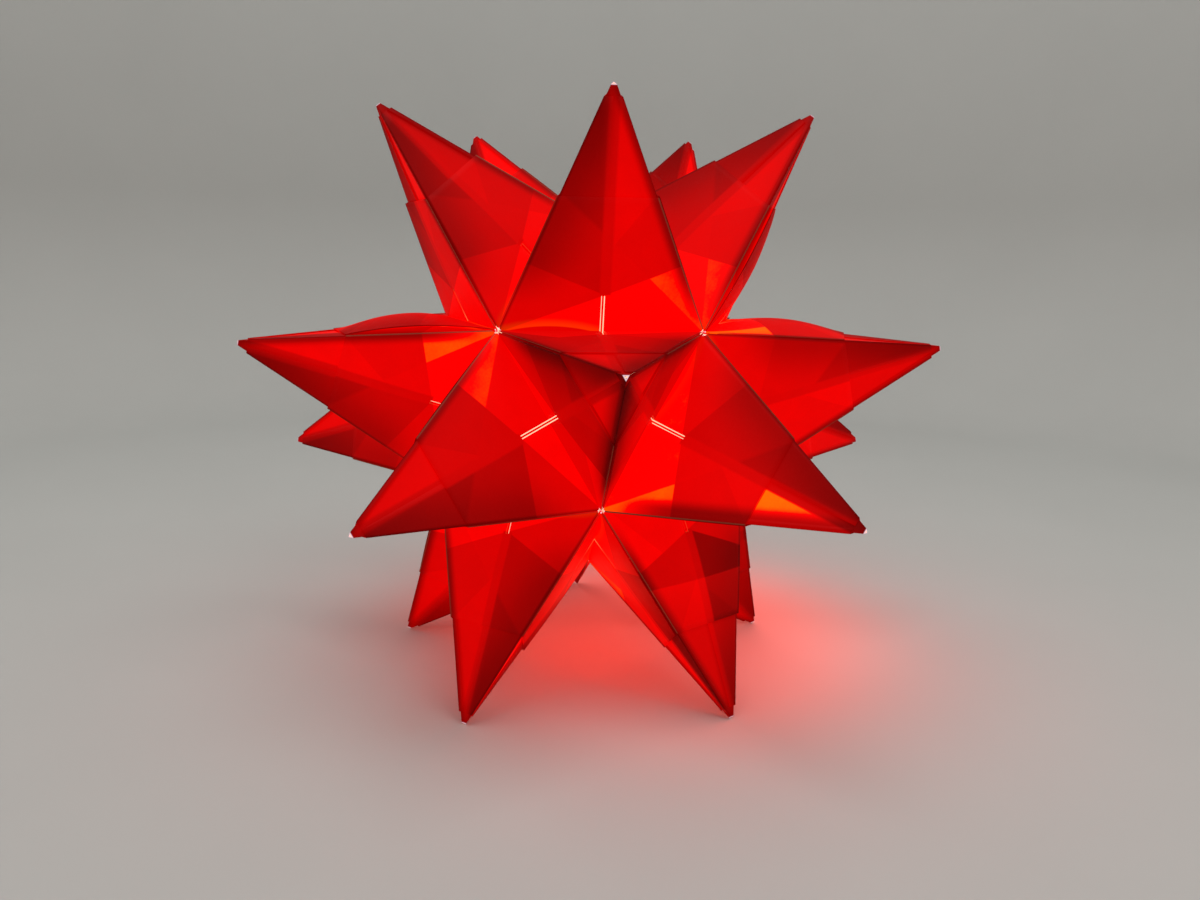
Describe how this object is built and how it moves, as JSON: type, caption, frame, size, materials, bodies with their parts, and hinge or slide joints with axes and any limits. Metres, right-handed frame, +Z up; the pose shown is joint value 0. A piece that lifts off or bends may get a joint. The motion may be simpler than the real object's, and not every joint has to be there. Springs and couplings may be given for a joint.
{
  "type": "modular origami star",
  "caption": "Spiked star of interlocked folded paper units, each with two pockets and two tabs, glowing from a small battery light inside.",
  "frame": {"origin": "on the floor, under the middle of the star", "axes": "+Z up; -Y is the front, towards the viewer of the picture; +X to the viewer's right"},
  "size_m": [0.2206, 0.232, 0.1885],
  "materials": {
    "red_paper": "matte",
    "light_body": "satin",
    "light_diffuser": "frosted"
  },
  "bodies": {
    "root": {"top_unit_1": "red_paper", "top_unit_2": "red_paper", "top_unit_3": "red_paper", "top_unit_4": "red_paper", "top_unit_5": "red_paper", "upper_unit_1": "red_paper", "upper_unit_2": "red_paper", "upper_unit_3": "red_paper", "upper_unit_4": "red_paper", "upper_unit_5": "red_paper", "belt_unit_01": "red_paper", "belt_unit_02": "red_paper", "belt_unit_03": "red_paper", "belt_unit_04": "red_paper", "belt_unit_05": "red_paper", "belt_unit_06": "red_paper", "belt_unit_07": "red_paper", "belt_unit_08": "red_paper", "belt_unit_09": "red_paper", "belt_unit_10": "red_paper", "lower_unit_1": "red_paper", "lower_unit_2": "red_paper", "lower_unit_3": "red_paper", "lower_unit_4": "red_paper", "lower_unit_5": "red_paper", "bottom_unit_1": "red_paper", "bottom_unit_2": "red_paper", "bottom_unit_3": "red_paper", "bottom_unit_4": "red_paper", "bottom_unit_5": "red_paper", "light_base": "light_body", "light_dome": "light_diffuser"}
  },
  "joints": []
}
